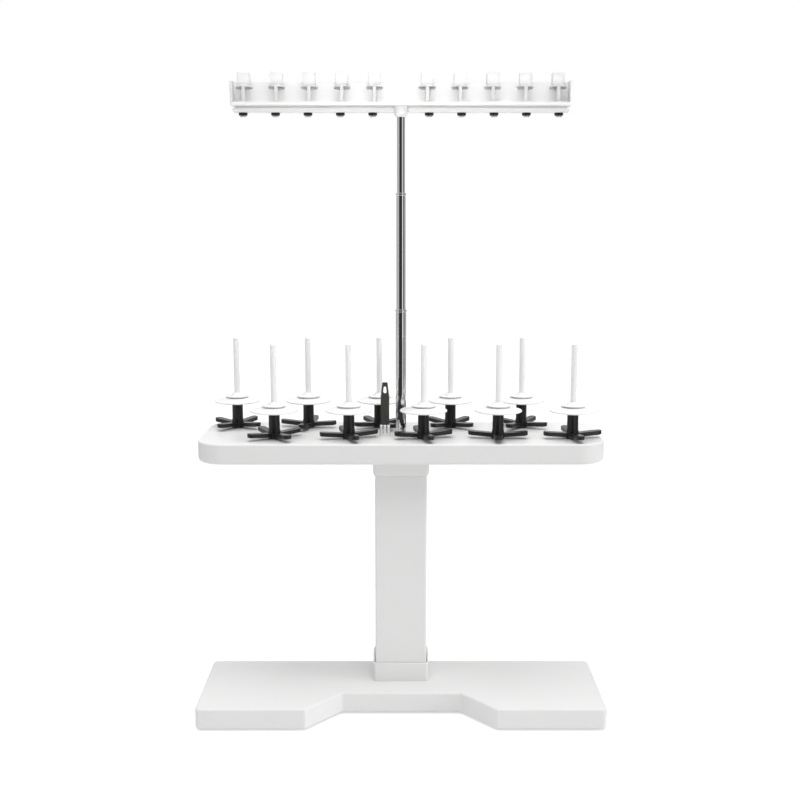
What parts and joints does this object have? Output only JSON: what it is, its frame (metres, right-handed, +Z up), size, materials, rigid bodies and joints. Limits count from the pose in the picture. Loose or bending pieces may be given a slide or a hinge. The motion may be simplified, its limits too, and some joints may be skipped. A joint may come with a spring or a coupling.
{
  "type": "embroidery spool rack",
  "caption": "Table-top thread stand: notched base, square pillar, oblong tray with upright spool pins in two staggered rows, and a telescopic pole with a bar of thread guides.",
  "frame": {"origin": "on the floor, under the middle of the whole stand", "axes": "+X to the right along the base, -Y to the notched front, +Z up along the pole"},
  "size_m": [0.42, 0.1684, 0.661],
  "materials": {
    "white_shell": "smooth moulded, faint satin sheen",
    "white_smooth": "smooth moulded, semi-gloss",
    "black_holder": "smooth moulded, satin",
    "chrome_tube": "polished",
    "clear_clip": "clear moulded, glossy",
    "foot_rubber": "matte"
  },
  "bodies": {
    "stand": {"base_shell": "white_shell", "base_cover": "white_shell", "pillar_socket": "white_shell", "pillar_front": "white_shell", "pillar_rear": "white_shell", "pillar_collar": "white_shell", "tray_shell": "white_shell", "tray_cover": "white_shell", "finger_socket": "white_shell", "base_foot_1": "foot_rubber", "base_foot_2": "foot_rubber", "base_foot_3": "foot_rubber", "base_foot_4": "foot_rubber", "pole_lower": "chrome_tube", "spool_pin_1": "white_smooth", "spool_pin_2": "white_smooth", "spool_pin_3": "white_smooth", "spool_pin_4": "white_smooth", "spool_pin_5": "white_smooth", "spool_pin_6": "white_smooth", "spool_pin_7": "white_smooth", "spool_pin_8": "white_smooth", "spool_pin_9": "white_smooth", "spool_pin_10": "white_smooth", "thread_finger": "black_holder"},
    "pole_middle": {"pole_middle": "chrome_tube"},
    "pole_upper": {"pole_upper": "chrome_tube"},
    "guide_bar": {"guide_bar": "white_shell", "bar_cover": "white_shell", "bar_socket": "white_shell", "guide_unit_1": "clear_clip", "guide_unit_2": "clear_clip", "guide_unit_3": "clear_clip", "guide_unit_4": "clear_clip", "guide_unit_5": "clear_clip", "guide_unit_6": "clear_clip", "guide_unit_7": "clear_clip", "guide_unit_8": "clear_clip", "guide_unit_9": "clear_clip", "guide_unit_10": "clear_clip"},
    "cone_holder_1": {"cone_holder_1": "black_holder"},
    "cone_holder_2": {"cone_holder_2": "black_holder"},
    "cone_holder_3": {"cone_holder_3": "black_holder"},
    "cone_holder_4": {"cone_holder_4": "black_holder"},
    "cone_holder_5": {"cone_holder_5": "black_holder"},
    "cone_holder_6": {"cone_holder_6": "black_holder"},
    "cone_holder_7": {"cone_holder_7": "black_holder"},
    "cone_holder_8": {"cone_holder_8": "black_holder"},
    "cone_holder_9": {"cone_holder_9": "black_holder"},
    "cone_holder_10": {"cone_holder_10": "black_holder"},
    "spool_cap_1": {"spool_cap_1": "white_smooth"},
    "spool_cap_2": {"spool_cap_2": "white_smooth"},
    "spool_cap_3": {"spool_cap_3": "white_smooth"},
    "spool_cap_4": {"spool_cap_4": "white_smooth"},
    "spool_cap_5": {"spool_cap_5": "white_smooth"},
    "spool_cap_6": {"spool_cap_6": "white_smooth"},
    "spool_cap_7": {"spool_cap_7": "white_smooth"},
    "spool_cap_8": {"spool_cap_8": "white_smooth"},
    "spool_cap_9": {"spool_cap_9": "white_smooth"},
    "spool_cap_10": {"spool_cap_10": "white_smooth"}
  },
  "joints": [
    {"name": "pole_middle_slide", "type": "slide", "parent": "stand", "child": "pole_middle", "axis": [0, 0, 1], "range_m": [-0.116, 0]},
    {"name": "pole_upper_slide", "type": "slide", "parent": "pole_middle", "child": "pole_upper", "axis": [0, 0, 1], "range_m": [-0.074, 0]},
    {"name": "guide_bar_turn", "type": "hinge", "parent": "pole_upper", "child": "guide_bar", "pos_m": [0, 0.02115, 0.62], "axis": [0, 0, 1], "continuous": true},
    {"name": "cone_holder_1_turn", "type": "hinge", "parent": "stand", "child": "cone_holder_1", "pos_m": [-0.1784, 0.05205, 0.3], "axis": [0, 0, 1], "continuous": true},
    {"name": "cone_holder_2_turn", "type": "hinge", "parent": "stand", "child": "cone_holder_2", "pos_m": [-0.1316, -0.00975, 0.3], "axis": [0, 0, 1], "continuous": true},
    {"name": "cone_holder_3_turn", "type": "hinge", "parent": "stand", "child": "cone_holder_3", "pos_m": [-0.1009, 0.05205, 0.3], "axis": [0, 0, 1], "continuous": true},
    {"name": "cone_holder_4_turn", "type": "hinge", "parent": "stand", "child": "cone_holder_4", "pos_m": [-0.0541, -0.00975, 0.3], "axis": [0, 0, 1], "continuous": true},
    {"name": "cone_holder_5_turn", "type": "hinge", "parent": "stand", "child": "cone_holder_5", "pos_m": [-0.0234, 0.05205, 0.3], "axis": [0, 0, 1], "continuous": true},
    {"name": "cone_holder_6_turn", "type": "hinge", "parent": "stand", "child": "cone_holder_6", "pos_m": [0.0234, -0.00975, 0.3], "axis": [0, 0, 1], "continuous": true},
    {"name": "cone_holder_7_turn", "type": "hinge", "parent": "stand", "child": "cone_holder_7", "pos_m": [0.0541, 0.05205, 0.3], "axis": [0, 0, 1], "continuous": true},
    {"name": "cone_holder_8_turn", "type": "hinge", "parent": "stand", "child": "cone_holder_8", "pos_m": [0.1009, -0.00975, 0.3], "axis": [0, 0, 1], "continuous": true},
    {"name": "cone_holder_9_turn", "type": "hinge", "parent": "stand", "child": "cone_holder_9", "pos_m": [0.1316, 0.05205, 0.3], "axis": [0, 0, 1], "continuous": true},
    {"name": "cone_holder_10_turn", "type": "hinge", "parent": "stand", "child": "cone_holder_10", "pos_m": [0.1784, -0.00975, 0.3], "axis": [0, 0, 1], "continuous": true},
    {"name": "spool_cap_1_lift", "type": "slide", "parent": "stand", "child": "spool_cap_1", "axis": [0, 0, 1], "range_m": [0, 0.058]},
    {"name": "spool_cap_2_lift", "type": "slide", "parent": "stand", "child": "spool_cap_2", "axis": [0, 0, 1], "range_m": [0, 0.058]},
    {"name": "spool_cap_3_lift", "type": "slide", "parent": "stand", "child": "spool_cap_3", "axis": [0, 0, 1], "range_m": [0, 0.058]},
    {"name": "spool_cap_4_lift", "type": "slide", "parent": "stand", "child": "spool_cap_4", "axis": [0, 0, 1], "range_m": [0, 0.058]},
    {"name": "spool_cap_5_lift", "type": "slide", "parent": "stand", "child": "spool_cap_5", "axis": [0, 0, 1], "range_m": [0, 0.058]},
    {"name": "spool_cap_6_lift", "type": "slide", "parent": "stand", "child": "spool_cap_6", "axis": [0, 0, 1], "range_m": [0, 0.058]},
    {"name": "spool_cap_7_lift", "type": "slide", "parent": "stand", "child": "spool_cap_7", "axis": [0, 0, 1], "range_m": [0, 0.058]},
    {"name": "spool_cap_8_lift", "type": "slide", "parent": "stand", "child": "spool_cap_8", "axis": [0, 0, 1], "range_m": [0, 0.058]},
    {"name": "spool_cap_9_lift", "type": "slide", "parent": "stand", "child": "spool_cap_9", "axis": [0, 0, 1], "range_m": [0, 0.058]},
    {"name": "spool_cap_10_lift", "type": "slide", "parent": "stand", "child": "spool_cap_10", "axis": [0, 0, 1], "range_m": [0, 0.058]}
  ]
}
